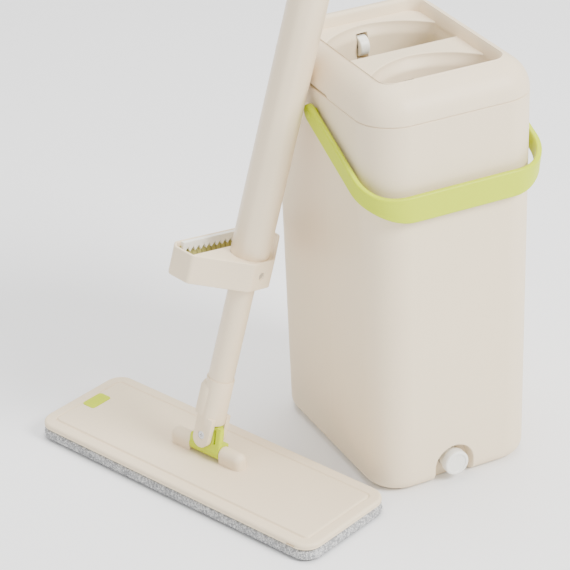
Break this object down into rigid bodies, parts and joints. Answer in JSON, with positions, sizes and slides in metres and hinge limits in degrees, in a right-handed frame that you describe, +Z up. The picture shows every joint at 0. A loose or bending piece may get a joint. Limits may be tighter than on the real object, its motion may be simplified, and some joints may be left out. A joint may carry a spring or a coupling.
{
  "type": "flat squeeze mop and bucket",
  "caption": "Flat mop with a folding pole, sliding scraper loop and fabric pad, parked beside a tall bucket with a wash slot, a squeeze slot, a drain plug and a swinging bail.",
  "frame": {"origin": "middle of the bucket's base, on the floor", "axes": "+Z up, -Y towards the bucket's front with the drain plug, +X to the bucket's right; the mop is parked at the left"},
  "size_m": [0.4433, 0.3332, 1.2361],
  "materials": {
    "beige_plastic": "satin moulded polypropylene, warm beige",
    "beige_coated_tube": "satin extruded tube, warm beige",
    "ivory_plastic": "satin ivory moulding",
    "lime_plastic": "satin lime moulding",
    "grey_plastic": "matt grey moulding",
    "dark_plastic": "matt dark bush plastic",
    "seal_rubber": "matt rubber",
    "grey_rubber": "soft matt rubber",
    "olive_rubber": "soft matt scraper rubber",
    "hook_tape": "hook tape",
    "pad_fabric": "grey and white looped microfibre",
    "steel": "zinc-plated steel"
  },
  "bodies": {
    "bucket": {"bucket_body": "beige_plastic", "bucket_divider": "beige_plastic"},
    "lid": {"lid": "beige_plastic", "wash_comb": "lime_plastic", "squeeze_blade": "grey_rubber", "roller_axles": "steel"},
    "rear_roller": {"rear_roller": "ivory_plastic"},
    "front_roller": {"front_roller": "ivory_plastic"},
    "plug": {"drain_plug": "ivory_plastic", "drain_seal": "seal_rubber"},
    "bail": {"bail": "lime_plastic"},
    "mop_head": {"head_plate": "beige_plastic", "head_base": "grey_plastic", "hook_strips": "hook_tape", "pad": "pad_fabric", "yoke_pin": "steel", "button_spring": "steel"},
    "button": {"release_button": "lime_plastic"},
    "yoke": {"yoke": "lime_plastic"},
    "pole": {"fork": "beige_plastic", "pivot_screw": "steel", "pivot_nut": "steel", "inner_pole": "beige_coated_tube", "piston_bush": "dark_plastic"},
    "sleeve": {"guide_bush": "dark_plastic", "outer_sleeve": "beige_coated_tube", "scraper_loop": "beige_plastic", "comb_strip": "ivory_plastic", "scraper_insert": "olive_rubber", "loop_screw": "steel", "grip": "grey_rubber", "hang_cap": "lime_plastic"}
  },
  "joints": [
    {"name": "bail_swing", "type": "hinge", "parent": "bucket", "child": "bail", "pos_m": [0, 0, 0.331], "axis": [1, 0, 0], "range_deg": [-78, 0]},
    {"name": "lid_lift", "type": "slide", "parent": "bucket", "child": "lid", "axis": [0.27, 0, 0.9629], "range_m": [0, 0.05]},
    {"name": "plug_pull", "type": "slide", "parent": "bucket", "child": "plug", "axis": [0, -1, 0], "range_m": [0, 0.03]},
    {"name": "rear_roller_spin", "type": "hinge", "parent": "lid", "child": "rear_roller", "pos_m": [-0.004, 0.0625, 0.352], "axis": [1, 0, 0], "continuous": true},
    {"name": "front_roller_spin", "type": "hinge", "parent": "lid", "child": "front_roller", "pos_m": [-0.004, -0.0185, 0.341], "axis": [1, 0, 0], "continuous": true},
    {"name": "mop_lift", "type": "slide", "parent": "bucket", "child": "mop_head", "axis": [0, 0, 1], "range_m": [0, 0.4]},
    {"name": "yoke_tilt", "type": "hinge", "parent": "mop_head", "child": "yoke", "pos_m": [-0.18706, 0.01887, 0.0244], "axis": [0.3769, -0.9263, 0], "range_deg": [0, 55]},
    {"name": "pole_tilt", "type": "hinge", "parent": "yoke", "child": "pole", "pos_m": [-0.18408, 0.02008, 0.03803], "axis": [0.9014, 0.3668, -0.2301], "range_deg": [-72, 0]},
    {"name": "sleeve_slide", "type": "slide", "parent": "pole", "child": "sleeve", "axis": [-0.2599, 0.0333, -0.9651], "range_m": [-0.05, 0.05]},
    {"name": "button_press", "type": "slide", "parent": "mop_head", "child": "button", "axis": [0, 0, -1], "range_m": [0, 0.002], "stiffness_N_per_m": 400, "springref_m": -0.002, "deforming": ["button_spring"]}
  ]
}
